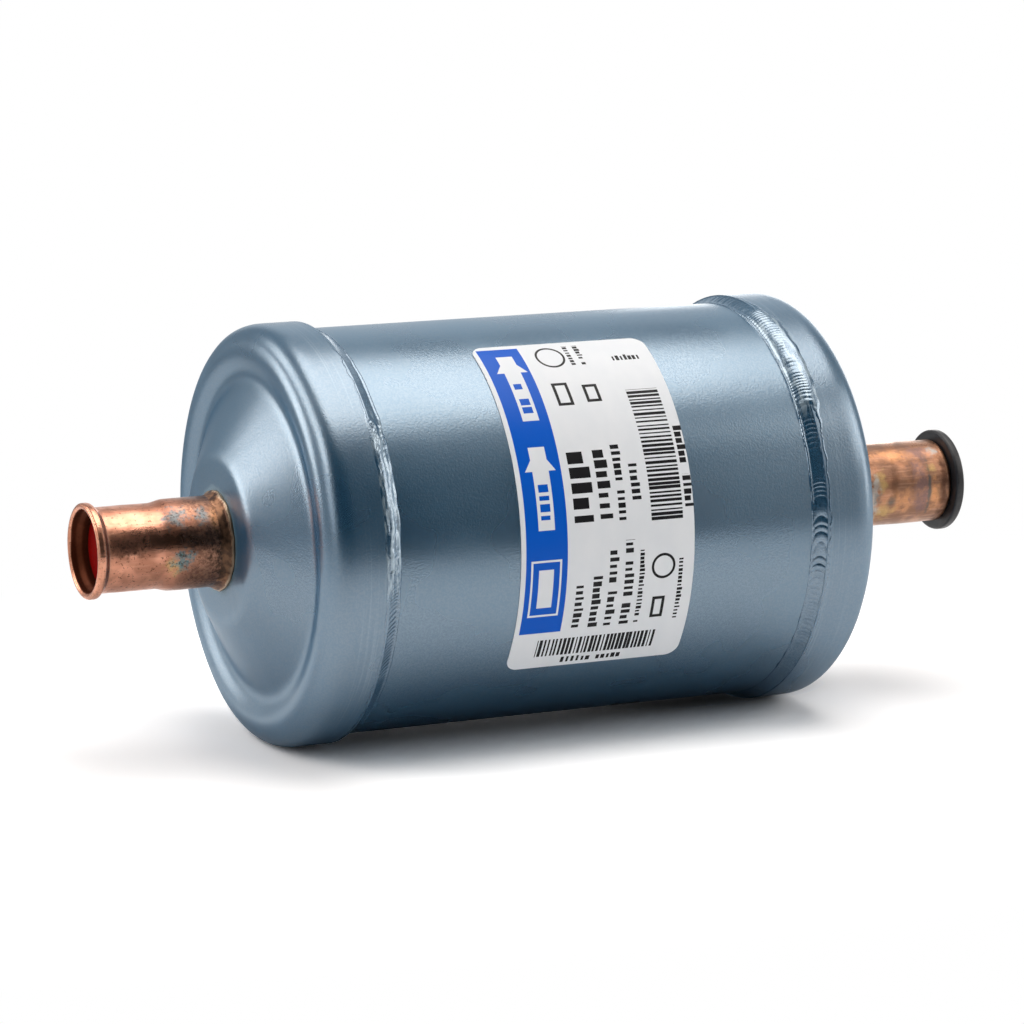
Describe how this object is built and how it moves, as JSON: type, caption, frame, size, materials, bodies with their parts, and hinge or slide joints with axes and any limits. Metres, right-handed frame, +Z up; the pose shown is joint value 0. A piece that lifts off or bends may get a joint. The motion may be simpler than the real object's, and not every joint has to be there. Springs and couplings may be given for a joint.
{
  "type": "filter drier",
  "caption": "Welded steel canister with a copper tube stub at each end, which filters and dries refrigerant in a liquid line.",
  "frame": {"origin": "on the flow axis, midway between the rims of the two end caps", "axes": "+X along the flow, from the stub with the red plug to the stub with the black plug; +Z up; -Y is the side that carries the label"},
  "size_m": [0.1813, 0.079, 0.079],
  "materials": {
    "shell_paint": "satin metallic steel-blue paint with a fine grain",
    "weld_paint": "the same paint over a rippled weld bead",
    "copper": "copper, heat-tinted brown, purple and gold near the braze",
    "braze": "dull gold brazing metal with flux stain",
    "red_plastic": "red polyethylene",
    "black_plastic": "black polyethylene, satin",
    "label_film": "white film with a blue stripe and plain printed blocks",
    "spring_steel": "drawn steel wire",
    "plain_steel": "pressed bare steel",
    "glass_fibre": "pressed glass-fibre pad",
    "desiccant": "moulded porous desiccant",
    "felt": "pressed felt",
    "screen_wire": "fine woven wire"
  },
  "bodies": {
    "drier": {"shell_tube": "shell_paint", "inlet_end_cap": "shell_paint", "outlet_end_cap": "shell_paint", "inlet_weld": "weld_paint", "outlet_weld": "weld_paint", "inlet_stub": "copper", "outlet_stub": "copper", "inlet_braze_ring": "braze", "outlet_braze_ring": "braze", "label": "label_film", "core_spring": "spring_steel", "inlet_plate": "plain_steel", "outlet_plate": "plain_steel", "inlet_pad": "glass_fibre", "filter_pad": "glass_fibre", "desiccant_core": "desiccant", "core_seal": "felt", "wire_screen": "screen_wire"},
    "red_plug": {"inlet_plug": "red_plastic"},
    "black_plug": {"outlet_plug": "black_plastic"}
  },
  "joints": [
    {"name": "inlet_plug_pull", "type": "slide", "parent": "drier", "child": "red_plug", "axis": [-1, 0, 0], "range_m": [0, 0.03]},
    {"name": "outlet_plug_pull", "type": "slide", "parent": "drier", "child": "black_plug", "axis": [1, 0, 0], "range_m": [0, 0.06]}
  ]
}
